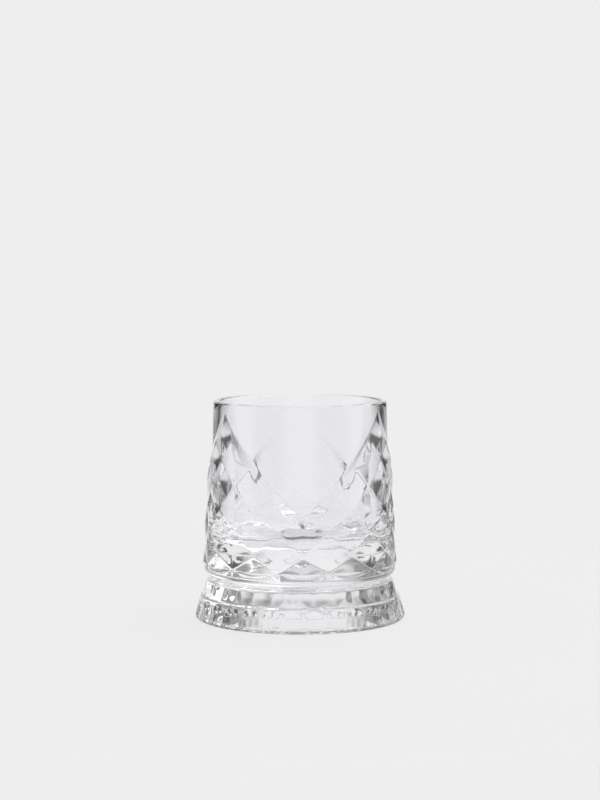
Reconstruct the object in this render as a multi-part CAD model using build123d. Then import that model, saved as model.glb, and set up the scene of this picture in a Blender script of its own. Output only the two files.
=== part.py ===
"""Spinning whiskey tumbler: a diamond-cut glass bowl that turns on a fluted glass foot.

The bowl is bonded to a steel spindle, the spindle runs in a small shielded ball bearing, and the
bearing sits in a flanged steel cup bonded into the top of the foot. Millimetres, +Z up, origin on
the table at the middle of the foot. The middle of one plain window of the bowl faces -Y.
"""

import math
import os

from build123d import *

# Foot: a solid flared glass disc with a band of upright flutes
FOOT_HEIGHT = 17.0
FOOT_RADIUS = 45.2  # to the heel's corner, before it is rounded
HEEL_HEIGHT = 1.4  # of that corner above the table
HEEL_ROUND = 1.2
TREAD_OUTER = 44.0  # the ring that stands on the table
TREAD_INNER = 40.6
PUNT_DEPTH = 0.4  # of the polished hollow inside the tread
PUNT_SLOPE = 1.6  # width of the slope from the tread into the hollow
BAND_TOP_Z = 10.0  # the fluted band ends in a small ledge here
BAND_TOP_RADIUS = 42.7
LEDGE_WIDTH = 0.9
LEDGE_RISE = 0.5
FOOT_TOP_RADIUS = 39.9  # of the plain shoulder, carried up to the top face
FOOT_TOP_ROUND = 1.8
FLUTES = 30
FLUTE_DEPTH = 0.75
FLUTE_GAP = 0.9  # glass left between two flutes at the heel
FLUTE_END_Z = 9.3  # the crown of each flute's round upper end
SCOOP_DEPTH = 0.3  # of the shallow scoops in the shoulder, one above each land between flutes
SCOOP_END_Z = 11.3  # the lowest point of each scoop's round lower end
CUTTER_WIDTH = 8.0  # how wide, across the foot's edge, the tools for flutes and scoops are

# Bowl: a tapered tumbler, wider below, with three V-shaped plain windows between cut diamonds
BOWL_GAP = 1.9  # open slot between foot and bowl
BOWL_HEIGHT = 74.6
BELT_RADIUS = 41.0  # of the plain belt under the diamonds
BELT_HEIGHT = 4.6
BOWL_CORNER = 3.0  # rounding of the bowl's lower edge
RIM_RADIUS = 37.0
RIM_THICKNESS = 2.6
RIM_ROUND = 1.2
FLOOR_THICKNESS = 12.6
CAVITY_LOW_RADIUS = 33.6  # of the draughted inner wall, carried down to the floor
CAVITY_ROUND = 14.0
COLUMNS = 12  # diamonds around the bowl
WINDOWS = 3
WINDOW_LOW_RADIUS = 38.0  # of the plain windows, at the point of the V
PEAK_HEIGHT = 72.2  # tip of the diamonds between two windows, above the bowl's base
POINT_HEIGHT = 30.0  # point of each V-shaped window
LOWER_ROWS = (22.6, 12.3, 5.5)  # crossings of the cuts below that point
PROUD_LOW_RADIUS = 41.5  # of the surface that the diamonds are cut from, at the belt's top
PROUD_TOP_RADIUS = 38.1  # and at the peaks
CUT_DEPTH = 0.55  # from that surface down to the crossings of the cuts
CREST = 0.3  # from that surface up to the middle of a diamond
BEVEL = 2.6  # width of the slope from the diamonds into a window
BURIED = 0.7  # how far under the window's surface the slope runs out

# Bearing: 6 x 12 x 4 deep-groove ball bearing with two steel shields
BEARING_BORE = 6.0
BEARING_OUTSIDE = 12.0
BEARING_WIDTH = 4.0
BALLS = 10
BALL_DIAMETER = 1.6
BALL_CLEARANCE = 0.03
LAND_DEPTH = 0.55  # from the balls' pitch circle to the rings' lands
SHIELD_SEAT = 0.35  # radial depth of the seats for the shields
SHIELD_SKIRT = 0.5  # height of the shields' outer skirt
SHIELD_THICKNESS = 0.25
SHIELD_INSET = 0.1  # from the bearing's face to the shield
SHIELD_CLEARANCE = 0.2
CAGE_WALL = 0.7
CAGE_TOP = 1.15  # above the balls' middle plane
CAGE_BOTTOM = 0.55  # below it, where the pockets are open for the balls to snap in
CAGE_CLEARANCE = 0.06

# Cup that holds the bearing in the foot
CUP_WALL = 0.7
CUP_FLOOR = 0.6
CUP_POCKET = 1.4  # depth of the room for the clip under the bearing
CUP_LEDGE = 0.8  # width of the seat under the bearing's outer ring
CUP_FLANGE = 1.2  # width
CUP_FLANGE_THICKNESS = 0.4
BEARING_PROUD = 0.2  # the bearing's top face over the foot's top
BOND = 0.1  # cured adhesive film between glass and steel

# Spindle under the bowl
COLLAR_RADIUS = 3.7
COLLAR_HEIGHT = 0.9
FLANGE_RADIUS = 5.6
FLANGE_THICKNESS = 1.5
CLIP_THICKNESS = 0.5
CLIP_PLAY = 0.1
CLIP_GROOVE_RADIUS = 2.5
CLIP_OUTER_RADIUS = 4.2
CLIP_OPENING = 3.8  # width
SHAFT_END = 0.6  # shaft left below the clip

BOWL_BASE = FOOT_HEIGHT + BOWL_GAP
RIM_Z = BOWL_BASE + BOWL_HEIGHT
FLOOR_Z = BOWL_BASE + FLOOR_THICKNESS
BEARING_TOP = FOOT_HEIGHT + BEARING_PROUD
BEARING_BOTTOM = BEARING_TOP - BEARING_WIDTH
BEARING_MIDDLE = (BEARING_TOP + BEARING_BOTTOM) / 2
BORE = BEARING_BORE / 2
OUTSIDE = BEARING_OUTSIDE / 2
PITCH_RADIUS = (BORE + OUTSIDE) / 2
INNER_LAND = PITCH_RADIUS - LAND_DEPTH
OUTER_LAND = PITCH_RADIUS + LAND_DEPTH
CUP_RADIUS = OUTSIDE + CUP_WALL
CUP_TOP = FOOT_HEIGHT + BOND + CUP_FLANGE_THICKNESS
POCKET_FLOOR = BEARING_BOTTOM - CUP_POCKET
CUP_BOTTOM = POCKET_FLOOR - CUP_FLOOR
FLANGE_BOTTOM = BEARING_TOP + COLLAR_HEIGHT
FLANGE_TOP = FLANGE_BOTTOM + FLANGE_THICKNESS
CLIP_TOP = BEARING_BOTTOM - CLIP_PLAY
CLIP_BOTTOM = CLIP_TOP - CLIP_THICKNESS
HALF_COLUMN = 180.0 / COLUMNS  # degrees from one crossing of the cuts to the next row's
POINT_ROW = COLUMNS // WINDOWS  # the row of crossings that the windows' points are on


def turned(*corners):
    """A solid of revolution about Z. Each corner is (radius, z) or (radius, z, rounding)."""
    face = make_face(Polyline(*[corner[:2] for corner in corners], close=True))
    for corner in corners:
        if len(corner) == 3:
            nearest = face.vertices().sort_by_distance((corner[0], corner[1], 0))[0]
            face = fillet(nearest, corner[2])
    return revolve(Plane.XZ * face, Axis.Z)


def ring(inner, outer, low, high):
    """A plain ring with a square section."""
    return turned((inner, low), (outer, low), (outer, high), (inner, high))


def around(count, shape):
    """Copies of a shape, evenly spaced about Z."""
    return [Rot(0, 0, n * 360.0 / count) * shape for n in range(count)]


# ---------------------------------------------------------------- foot


def flute():
    """What one flute takes away: a ball-ended rod lying along the slope of the band."""
    lean = math.atan2(FOOT_RADIUS - BAND_TOP_RADIUS, BAND_TOP_Z - HEEL_HEIGHT)
    width = 2 * math.pi * FOOT_RADIUS / FLUTES - FLUTE_GAP
    rod = width**2 / (8 * FLUTE_DEPTH) + FLUTE_DEPTH / 2
    end_z = FLUTE_END_Z - width / 2 * math.cos(lean)
    end_radius = BAND_TOP_RADIUS + (BAND_TOP_Z - end_z) * math.tan(lean)
    out = rod - FLUTE_DEPTH
    place = Pos(end_radius + out * math.cos(lean), 0, end_z + out * math.sin(lean))
    bar = Cylinder(rod, 3 * FOOT_HEIGHT, align=(Align.CENTER, Align.CENTER, Align.MAX))
    tool = place * Rot(0, -math.degrees(lean), 0) * (Sphere(rod) + bar)
    return tool & Pos(FOOT_RADIUS, 0, 0) * Box(CUTTER_WIDTH, width + 0.1, 2 * FOOT_HEIGHT)


def scoop():
    """What one scoop takes away: a ball-ended rod lying along the slope of the shoulder."""
    low_z, low_radius = BAND_TOP_Z + LEDGE_RISE, BAND_TOP_RADIUS - LEDGE_WIDTH
    lean = math.atan2(low_radius - FOOT_TOP_RADIUS, FOOT_HEIGHT - low_z)
    width = 2 * math.pi * low_radius / FLUTES
    rod = width**2 / (8 * SCOOP_DEPTH) + SCOOP_DEPTH / 2
    end_z = SCOOP_END_Z + width / 2 * math.cos(lean)
    end_radius = low_radius - (end_z - low_z) * math.tan(lean)
    out = rod - SCOOP_DEPTH
    place = Pos(end_radius + out * math.cos(lean), 0, end_z + out * math.sin(lean))
    bar = Cylinder(rod, 3 * FOOT_HEIGHT, align=(Align.CENTER, Align.CENTER, Align.MIN))
    tool = place * Rot(0, -math.degrees(lean), 0) * (Sphere(rod) + bar)
    tool &= Pos(low_radius, 0, low_z + FOOT_HEIGHT / 2) * Box(CUTTER_WIDTH, width + 0.1, FOOT_HEIGHT)
    return Rot(0, 0, 180.0 / FLUTES) * tool


def make_foot():
    body = turned(
        (0, PUNT_DEPTH),
        (TREAD_INNER - PUNT_SLOPE, PUNT_DEPTH, 1.0),
        (TREAD_INNER, 0, 0.5),
        (TREAD_OUTER, 0, 0.8),
        (FOOT_RADIUS, HEEL_HEIGHT, HEEL_ROUND),
        (BAND_TOP_RADIUS, BAND_TOP_Z, 0.25),
        (BAND_TOP_RADIUS - LEDGE_WIDTH, BAND_TOP_Z + LEDGE_RISE, 0.25),
        (FOOT_TOP_RADIUS, FOOT_HEIGHT, FOOT_TOP_ROUND),
        (0, FOOT_HEIGHT),
    )
    body -= around(FLUTES, flute())
    body -= around(FLUTES, scoop())
    return body - ring_or_rod(CUP_RADIUS + BOND, CUP_BOTTOM - BOND, FOOT_HEIGHT + 1)


def ring_or_rod(radius, low, high):
    """A plain upright rod."""
    return turned((0, low), (radius, low), (radius, high), (0, high))


# ---------------------------------------------------------------- bowl


def proud_radius(height):
    """The surface that the diamonds are cut from."""
    share = (height - BELT_HEIGHT) / (PEAK_HEIGHT - BELT_HEIGHT)
    return PROUD_LOW_RADIUS + share * (PROUD_TOP_RADIUS - PROUD_LOW_RADIUS)


def window_radius(height):
    """The plain surface of the windows."""
    share = (height - POINT_HEIGHT) / (BOWL_HEIGHT - POINT_HEIGHT)
    return WINDOW_LOW_RADIUS + share * (RIM_RADIUS - WINDOW_LOW_RADIUS)


def row_height(row):
    """Height above the bowl's base of a row of crossings, counted down from the peaks."""
    if row > POINT_ROW:
        return LOWER_ROWS[row - POINT_ROW - 1]
    return PEAK_HEIGHT + row * (POINT_HEIGHT - PEAK_HEIGHT) / POINT_ROW


def at(radius, step, height):
    """A point on the bowl, step half-columns round from the middle of the front window."""
    angle = math.radians(step * HALF_COLUMN - 90.0)
    return (radius * math.cos(angle), radius * math.sin(angle), BOWL_BASE + height)


def crossing(row, step):
    """Where two cuts cross."""
    height = row_height(row)
    return at(proud_radius(height) - CUT_DEPTH, step, height)


def crest(row, step):
    """The middle of a diamond."""
    height = row_height(row)
    return at(proud_radius(height) + CREST, step, height)


def buried(step, height):
    """A point under the plain surface of a window."""
    return at(window_radius(height) - BURIED, step, height)


def make_diamonds():
    """The cut part of the bowl as one solid of flat facets. The windows' plain surface is
    outside it, and so is the belt."""
    around_steps = 2 * COLUMNS
    half_window = POINT_ROW
    last = POINT_ROW + len(LOWER_ROWS)
    facets = []

    def to_peak(step):
        """Half-columns from a step to the nearest peak."""
        return abs(step % (2 * half_window) - half_window)

    for row in range(1, last + 1):
        for step in range(around_steps):
            if (row + step + POINT_ROW) % 2 == 0 or (row <= POINT_ROW and to_peak(step) >= row):
                continue
            middle = crest(row, step)
            loop = [crossing(row, step - 1), crossing(row - 1, step), crossing(row, step + 1)]
            if row < last:
                loop += [crossing(row + 1, step), loop[0]]
            facets += [(middle, a, b) for a, b in zip(loop, loop[1:])]

    # the lower ends of the last diamonds slope back into the belt's rounded edge
    def low(step):
        cut = (last + step + POINT_ROW) % 2 == 0
        return crossing(last, step) if cut else crest(last, step)

    foot_ring = [at(BELT_RADIUS - 2.2, step, BELT_HEIGHT / 2) for step in range(around_steps)]
    for step in range(around_steps):
        here, after = foot_ring[step], foot_ring[(step + 1) % around_steps]
        facets += [(low(step), low(step + 1), here), (here, low(step + 1), after)]
    facets.append(foot_ring)

    # the slopes into each window, and flat faces inside the glass that close the solid
    aside = BEVEL * math.sqrt(2) / RIM_RADIUS / math.radians(HALF_COLUMN)
    above = BEVEL * math.sqrt(2)
    tip_height = (PEAK_HEIGHT + BOWL_HEIGHT) / 2 + 0.3
    tips = []
    for middle in range(0, around_steps, 2 * half_window):
        edges = []
        for side in (-1, 1):
            outer = [crossing(row, middle + side * (half_window - row))
                     for row in range(POINT_ROW + 1)]
            inner = [buried(middle + side * (half_window - row - aside), row_height(row))
                     for row in range(POINT_ROW)]
            inner.append(buried(middle, POINT_HEIGHT + above))
            tip = buried(middle + side * half_window, tip_height)
            outer.insert(0, tip)
            inner.insert(0, tip)
            edges.append(inner)
            for n in range(POINT_ROW + 1):
                if n:
                    facets.append((outer[n], outer[n + 1], inner[n]))
                    facets.append((inner[n], outer[n + 1], inner[n + 1]))
                else:
                    facets.append((tip, outer[1], inner[1]))
        left, right = edges
        for n in range(POINT_ROW):
            facets.append((left[n], right[n], right[n + 1], left[n + 1]))
        facets.append((left[POINT_ROW], right[POINT_ROW], left[POINT_ROW + 1]))
        tips.append(left[0])
    facets.append(tips)
    return Solid(Shell([Face(Wire.make_polygon(loop, close=True)) for loop in facets]))


def hollow(grow):
    """The room inside the bowl, grown on every side."""
    return turned(
        (0, FLOOR_Z - grow),
        (CAVITY_LOW_RADIUS + grow, FLOOR_Z - grow, CAVITY_ROUND + grow),
        (RIM_RADIUS - RIM_THICKNESS + grow, RIM_Z),
        (RIM_RADIUS - RIM_THICKNESS + grow, RIM_Z + 5),
        (0, RIM_Z + 5),
    )


def make_bowl():
    plain = turned(
        (0, BOWL_BASE),
        (BELT_RADIUS, BOWL_BASE, BOWL_CORNER),
        (BELT_RADIUS, BOWL_BASE + BELT_HEIGHT),
        (BELT_RADIUS - 1.0, BOWL_BASE + BELT_HEIGHT + 0.5),
        (WINDOW_LOW_RADIUS, BOWL_BASE + POINT_HEIGHT),
        (RIM_RADIUS, RIM_Z, RIM_ROUND),
        (RIM_RADIUS - RIM_THICKNESS, RIM_Z, RIM_ROUND),
        (CAVITY_LOW_RADIUS, FLOOR_Z, CAVITY_ROUND),
        (0, FLOOR_Z),
    )
    body = plain + (make_diamonds() - hollow(RIM_THICKNESS / 3))
    return body - ring_or_rod(FLANGE_RADIUS + BOND, BOWL_BASE - 1, FLANGE_TOP + BOND)


# ---------------------------------------------------------------- bearing and its parts


def make_bearing():
    """The rings, balls, cage and shields."""
    groove = Pos(0, 0, BEARING_MIDDLE) * Torus(PITCH_RADIUS, BALL_DIAMETER / 2 + BALL_CLEARANCE)
    inner = turned(
        (BORE, BEARING_BOTTOM, 0.2),
        (INNER_LAND, BEARING_BOTTOM, 0.1),
        (INNER_LAND, BEARING_TOP, 0.1),
        (BORE, BEARING_TOP, 0.2),
    ) - groove
    seat = OUTER_LAND + SHIELD_SEAT
    outer = turned(
        (seat, BEARING_BOTTOM),
        (OUTSIDE, BEARING_BOTTOM, 0.2),
        (OUTSIDE, BEARING_TOP, 0.2),
        (seat, BEARING_TOP),
        (seat, BEARING_TOP - SHIELD_INSET - SHIELD_SKIRT),
        (OUTER_LAND, BEARING_TOP - SHIELD_INSET - SHIELD_SKIRT),
        (OUTER_LAND, BEARING_BOTTOM + SHIELD_INSET + SHIELD_SKIRT),
        (seat, BEARING_BOTTOM + SHIELD_INSET + SHIELD_SKIRT),
    ) - groove
    ball = Pos(PITCH_RADIUS, 0, BEARING_MIDDLE) * Sphere(BALL_DIAMETER / 2)
    pocket = Pos(PITCH_RADIUS, 0, BEARING_MIDDLE) * Sphere(BALL_DIAMETER / 2 + CAGE_CLEARANCE)
    cage = ring(PITCH_RADIUS - CAGE_WALL / 2, PITCH_RADIUS + CAGE_WALL / 2,
                BEARING_MIDDLE - CAGE_BOTTOM, BEARING_MIDDLE + CAGE_TOP) - around(BALLS, pocket)
    top = BEARING_TOP - SHIELD_INSET
    upper = turned(
        (INNER_LAND + SHIELD_CLEARANCE, top - SHIELD_THICKNESS),
        (seat - SHIELD_THICKNESS, top - SHIELD_THICKNESS),
        (seat - SHIELD_THICKNESS, top - SHIELD_SKIRT),
        (seat, top - SHIELD_SKIRT),
        (seat, top, 0.12),
        (INNER_LAND + SHIELD_CLEARANCE, top),
    )
    return {
        "bearing_inner_ring": inner,
        "bearing_outer_ring": outer,
        "bearing_balls": Compound(around(BALLS, ball)),
        "bearing_cage": cage,
        "bearing_shield_upper": upper,
        "bearing_shield_lower": mirror(upper, Plane.XY.offset(BEARING_MIDDLE)),
    }


def make_cup():
    return turned(
        (0, CUP_BOTTOM),
        (CUP_RADIUS, CUP_BOTTOM, 0.5),
        (CUP_RADIUS, FOOT_HEIGHT + BOND),
        (CUP_RADIUS + CUP_FLANGE, FOOT_HEIGHT + BOND),
        (CUP_RADIUS + CUP_FLANGE, CUP_TOP, 0.2),
        (OUTSIDE, CUP_TOP, 0.15),
        (OUTSIDE, BEARING_BOTTOM),
        (OUTSIDE - CUP_LEDGE, BEARING_BOTTOM),
        (OUTSIDE - CUP_LEDGE, POCKET_FLOOR),
        (0, POCKET_FLOOR),
    )


def make_foot_bond():
    """The film of adhesive around and under the cup."""
    film = turned(
        (0, CUP_BOTTOM - BOND),
        (CUP_RADIUS + BOND, CUP_BOTTOM - BOND),
        (CUP_RADIUS + BOND, FOOT_HEIGHT),
        (CUP_RADIUS + CUP_FLANGE, FOOT_HEIGHT),
        (CUP_RADIUS + CUP_FLANGE, FOOT_HEIGHT + BOND),
        (0, FOOT_HEIGHT + BOND),
    )
    return film - ring_or_rod(CUP_RADIUS, CUP_BOTTOM, CUP_TOP)


def make_spindle():
    body = turned(
        (0, CLIP_BOTTOM - SHAFT_END),
        (BORE, CLIP_BOTTOM - SHAFT_END, 0.3),
        (BORE, BEARING_TOP),
        (COLLAR_RADIUS, BEARING_TOP),
        (COLLAR_RADIUS, FLANGE_BOTTOM, 0.3),
        (FLANGE_RADIUS, FLANGE_BOTTOM, 0.3),
        (FLANGE_RADIUS, FLANGE_TOP, 0.3),
        (0, FLANGE_TOP),
    )
    return body - ring(CLIP_GROOVE_RADIUS, BORE + 1, CLIP_BOTTOM, CLIP_TOP)


def make_bowl_bond():
    """The film of adhesive over and around the spindle's flange."""
    film = ring_or_rod(FLANGE_RADIUS + BOND, BOWL_BASE, FLANGE_TOP + BOND)
    return film - make_spindle()


def make_clip():
    """The C-shaped clip that keeps the spindle in the bearing."""
    body = ring(CLIP_GROOVE_RADIUS, CLIP_OUTER_RADIUS, CLIP_BOTTOM, CLIP_TOP)
    mouth = Box(2 * CLIP_OUTER_RADIUS, CLIP_OPENING, 4 * CLIP_THICKNESS)
    return body - Pos(CLIP_OUTER_RADIUS, 0, (CLIP_BOTTOM + CLIP_TOP) / 2) * mouth


def main():
    nodes = {
        "bowl": make_bowl(),
        "foot": make_foot(),
        "spindle": make_spindle(),
        "retaining_clip": make_clip(),
        "bearing_cup": make_cup(),
        "bond_bowl": make_bowl_bond(),
        "bond_foot": make_foot_bond(),
    }
    nodes.update(make_bearing())
    os.makedirs("parts", exist_ok=True)
    for name, shape in nodes.items():
        export_step(shape, f"parts/{name}.step")


if __name__ == "__main__":
    main()
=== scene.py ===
"""Looks for a spinning whiskey tumbler: a diamond-cut glass bowl on a fluted glass foot."""

import math

import bpy
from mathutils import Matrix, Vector


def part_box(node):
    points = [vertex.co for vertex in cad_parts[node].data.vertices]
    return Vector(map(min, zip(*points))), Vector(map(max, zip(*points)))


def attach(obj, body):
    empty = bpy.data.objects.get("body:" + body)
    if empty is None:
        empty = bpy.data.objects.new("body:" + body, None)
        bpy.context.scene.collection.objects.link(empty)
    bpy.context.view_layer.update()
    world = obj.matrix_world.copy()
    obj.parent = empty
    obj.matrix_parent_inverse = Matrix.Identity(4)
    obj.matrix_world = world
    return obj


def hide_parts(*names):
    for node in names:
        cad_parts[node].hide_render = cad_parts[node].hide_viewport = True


bl_info = {
    "name": "Spinning Tumbler",
    "version": (1, 0, 0),
    "blender": (4, 5, 0),
    "location": "View3D > Sidebar > Tumbler",
    "description": "Makes a cut glass tumbler that turns on its foot",
    "category": "Add Mesh",
}

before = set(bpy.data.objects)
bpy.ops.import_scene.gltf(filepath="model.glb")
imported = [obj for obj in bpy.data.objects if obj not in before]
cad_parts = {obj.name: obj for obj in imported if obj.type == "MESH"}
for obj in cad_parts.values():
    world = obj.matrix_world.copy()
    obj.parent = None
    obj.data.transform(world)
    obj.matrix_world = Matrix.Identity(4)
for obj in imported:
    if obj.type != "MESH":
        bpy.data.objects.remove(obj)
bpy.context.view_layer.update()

MM = 0.001
BOWL_LOW, BOWL_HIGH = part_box("bowl")
FOOT_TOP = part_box("foot")[1].z
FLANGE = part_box("bond_bowl")[1]
CUP_BOND_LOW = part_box("bond_foot")[0]
CUP_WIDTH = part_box("bearing_cup")[1].x

COLUMNS = 24  # half diamonds around the bowl
CELLS = 16  # grid cells across half a diamond
POINT_ROW = 4  # the row of crossings that the windows' points are on
LAST_ROW = 7
STIPPLES = 8  # stipple dots along each flute's width, round the tread
LEDGE_WIDTH, LEDGE_RISE = 0.9 * MM, 0.5 * MM  # between the fluted band and the shoulder
WETTED = 0.02 * MM  # how far the glass laps over the adhesive, so that no air lies between
PEAK, POINT = 72.2 * MM, 30.0 * MM  # the windows' upper corners and points, over the bowl's base
LOWER_ROWS = (22.6 * MM, 12.3 * MM, 5.5 * MM)  # rows of crossings under the windows' points
RIM_ROUND = 1.2 * MM
TREAD_INNER, TREAD_OUTER = 40.6 * MM, 44.0 * MM  # the ring that stands on the table
HOLLOW_RADIUS = 39.0 * MM  # where the slope from the tread meets the hollow
SHOULDER_ROUND = 1.8 * MM
STIPPLE_PITCH = 1.2 * MM  # from one row of stipple dots to the next
CUP_FLANGE = 1.1 * MM  # how far the cup's flange stands out past the socket's wall
SMOOTH_ANGLE = 38.0  # degrees, over which an edge stays sharp


# ---------------------------------------------------------------- sizes and colours


class BowlSettings(bpy.types.PropertyGroup):
    """Sizes of the cut bowl."""

    rim_radius: bpy.props.FloatProperty(
        name="Rim Radius", description="Outer radius of the rim",
        default=37.0 * MM, min=0.02, unit="LENGTH", precision=4)
    rim_thickness: bpy.props.FloatProperty(
        name="Rim Thickness", description="Glass thickness at the rim",
        default=2.6 * MM, min=0.001, unit="LENGTH", precision=4)
    point_radius: bpy.props.FloatProperty(
        name="Window Point Radius", description="Radius of the plain windows at the point of the V",
        default=38.0 * MM, min=0.02, unit="LENGTH", precision=4)
    belt_radius: bpy.props.FloatProperty(
        name="Belt Radius", description="Radius of the plain belt under the diamonds",
        default=41.0 * MM, min=0.02, unit="LENGTH", precision=4)
    belt_height: bpy.props.FloatProperty(
        name="Belt Height", description="Height of the plain belt",
        default=4.6 * MM, min=0.001, unit="LENGTH", precision=4)
    corner: bpy.props.FloatProperty(
        name="Lower Corner", description="Rounding of the bowl's lower edge",
        default=3.0 * MM, min=0.0005, unit="LENGTH", precision=4)
    proud_low: bpy.props.FloatProperty(
        name="Proud Radius Low", description="Radius that the lowest diamonds are cut from",
        default=41.5 * MM, min=0.02, unit="LENGTH", precision=4)
    proud_top: bpy.props.FloatProperty(
        name="Proud Radius Top", description="Radius that the highest diamonds are cut from",
        default=38.1 * MM, min=0.02, unit="LENGTH", precision=4)
    cut_depth: bpy.props.FloatProperty(
        name="Cut Depth", description="Depth of the cuts between diamonds",
        default=0.55 * MM, min=0.0, unit="LENGTH", precision=5)
    crest: bpy.props.FloatProperty(
        name="Crest", description="Height of a diamond's point",
        default=0.3 * MM, min=0.0, unit="LENGTH", precision=5)
    window_margin: bpy.props.FloatProperty(
        name="Window Margin", description="How far a window reaches past the V's cuts, in diamonds",
        default=0.09375, min=0.0, max=0.4)
    bevel: bpy.props.FloatProperty(
        name="Window Bevel", description="Width of the slope round a window, in diamonds",
        default=0.21875, min=0.03, max=0.6)
    softness: bpy.props.FloatProperty(
        name="Softness", description="Rounding of the fire-polished edges, in diamonds",
        default=0.05, min=0.001, max=0.3)
    bulge: bpy.props.FloatProperty(
        name="Bulge", description="How far a diamond's sides bulge, from flat to round",
        default=0.8, min=0.0, max=1.0)
    floor_thickness: bpy.props.FloatProperty(
        name="Floor Thickness", description="Glass under the drink",
        default=12.6 * MM, min=0.001, unit="LENGTH", precision=4)
    cavity_low: bpy.props.FloatProperty(
        name="Cavity Low Radius", description="Inner wall's radius, carried down to the floor",
        default=33.6 * MM, min=0.01, unit="LENGTH", precision=4)
    cavity_round: bpy.props.FloatProperty(
        name="Cavity Rounding", description="Rounding between inner wall and floor",
        default=14.0 * MM, min=0.001, unit="LENGTH", precision=4)


class FootSettings(bpy.types.PropertyGroup):
    """Sizes of the fluted foot."""

    flutes: bpy.props.IntProperty(
        name="Flutes", description="Flutes round the foot", default=30, min=6, max=90)
    flute_depth: bpy.props.FloatProperty(
        name="Flute Depth", description="Depth of each flute",
        default=0.75 * MM, min=0.0, unit="LENGTH", precision=5)
    flute_gap: bpy.props.FloatProperty(
        name="Flute Gap", description="Glass left between two flutes at the heel",
        default=0.9 * MM, min=0.0, unit="LENGTH", precision=5)
    flute_end: bpy.props.FloatProperty(
        name="Flute End", description="Height of each flute's crown above the table",
        default=9.3 * MM, min=0.001, unit="LENGTH", precision=4)
    heel_radius: bpy.props.FloatProperty(
        name="Heel Radius", description="Radius of the heel's corner before it is rounded",
        default=45.2 * MM, min=0.02, unit="LENGTH", precision=4)
    heel_height: bpy.props.FloatProperty(
        name="Heel Height", description="Height of the heel's corner",
        default=1.4 * MM, min=0.0001, unit="LENGTH", precision=4)
    band_radius: bpy.props.FloatProperty(
        name="Band Radius", description="Radius at the top of the fluted band",
        default=42.7 * MM, min=0.02, unit="LENGTH", precision=4)
    band_top: bpy.props.FloatProperty(
        name="Band Top", description="Height of the top of the fluted band",
        default=10.0 * MM, min=0.001, unit="LENGTH", precision=4)
    top_radius: bpy.props.FloatProperty(
        name="Top Radius", description="Radius of the shoulder carried up to the top face",
        default=39.9 * MM, min=0.01, unit="LENGTH", precision=4)
    hollow: bpy.props.FloatProperty(
        name="Hollow", description="Depth of the hollow under the foot",
        default=0.4 * MM, min=0.0, unit="LENGTH", precision=5)
    scoop_depth: bpy.props.FloatProperty(
        name="Scoop Depth", description="Depth of the scoops in the shoulder",
        default=0.3 * MM, min=0.00005, unit="LENGTH", precision=5)
    scoop_end: bpy.props.FloatProperty(
        name="Scoop End", description="Lowest point of the scoops above the table",
        default=11.3 * MM, min=0.001, unit="LENGTH", precision=4)
    stipple: bpy.props.FloatProperty(
        name="Stipple", description="Depth of the stippling on the tread",
        default=0.14 * MM, min=0.0, unit="LENGTH", precision=5)


class FinishSettings(bpy.types.PropertyGroup):
    """Colours and finishes."""

    glass: bpy.props.FloatVectorProperty(
        name="Glass", description="Tint of the clear glass", subtype="COLOR", size=3,
        default=(0.971, 0.969, 0.987), min=0.0, max=1.0)
    ripple: bpy.props.FloatProperty(
        name="Ripple", description="Strength of the pressed glass's slow waves",
        default=0.25, min=0.0, max=1.0)
    steel: bpy.props.FloatVectorProperty(
        name="Steel", description="Stainless steel of the spindle and cup", subtype="COLOR",
        size=3, default=(0.55, 0.55, 0.56), min=0.0, max=1.0)
    spring: bpy.props.FloatVectorProperty(
        name="Spring Steel", description="Blued steel of the clip", subtype="COLOR",
        size=3, default=(0.16, 0.17, 0.2), min=0.0, max=1.0)
    adhesive: bpy.props.FloatVectorProperty(
        name="Adhesive", description="Steel seen through the cured adhesive", subtype="COLOR",
        size=3, default=(0.8, 0.8, 0.82), min=0.0, max=1.0)


class StageSettings(bpy.types.PropertyGroup):
    """Camera, floor and light."""

    distance: bpy.props.FloatProperty(
        name="Distance", description="From the tumbler's axis to the camera, along the floor",
        default=0.891, min=0.1, unit="LENGTH")
    height: bpy.props.FloatProperty(
        name="Camera Height", description="Camera above the floor",
        default=0.158, min=0.0, unit="LENGTH")
    pitch: bpy.props.FloatProperty(
        name="Pitch", description="How far the camera looks down",
        default=math.radians(4.15), subtype="ANGLE")
    swing: bpy.props.FloatProperty(
        name="Swing", description="How far the camera stands round to the left",
        default=math.radians(1.8), subtype="ANGLE")
    lens: bpy.props.FloatProperty(
        name="Lens", description="Focal length in millimetres", default=94.05, min=10.0)
    backdrop: bpy.props.FloatProperty(
        name="Backdrop", description="Brightness of the pale surroundings",
        default=0.855, min=0.0, max=2.0)


SETTINGS = {
    "tumbler_bowl": BowlSettings,
    "tumbler_foot": FootSettings,
    "tumbler_finish": FinishSettings,
    "tumbler_stage": StageSettings,
}


# ---------------------------------------------------------------- node helpers


def node(tree, kind, inputs=None, **props):
    """Add a node, set its properties and its inputs. An input that is a socket is linked."""
    made = tree.nodes.new(kind)
    for name, value in props.items():
        setattr(made, name, value)
    for key, value in (inputs or {}).items():
        if isinstance(value, bpy.types.NodeSocket):
            tree.links.new(value, made.inputs[key])
        else:
            made.inputs[key].default_value = value
    return made


def calc(tree, operation, *values, clamp=False):
    """A Math node's result."""
    return node(tree, "ShaderNodeMath", dict(enumerate(values)),
                operation=operation, use_clamp=clamp).outputs[0]


def vector_calc(tree, operation, *values):
    """A Vector Math node's result."""
    made = node(tree, "ShaderNodeVectorMath", dict(enumerate(values)), operation=operation)
    return made.outputs["Value" if operation in ("LENGTH", "DOT_PRODUCT") else "Vector"]


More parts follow.
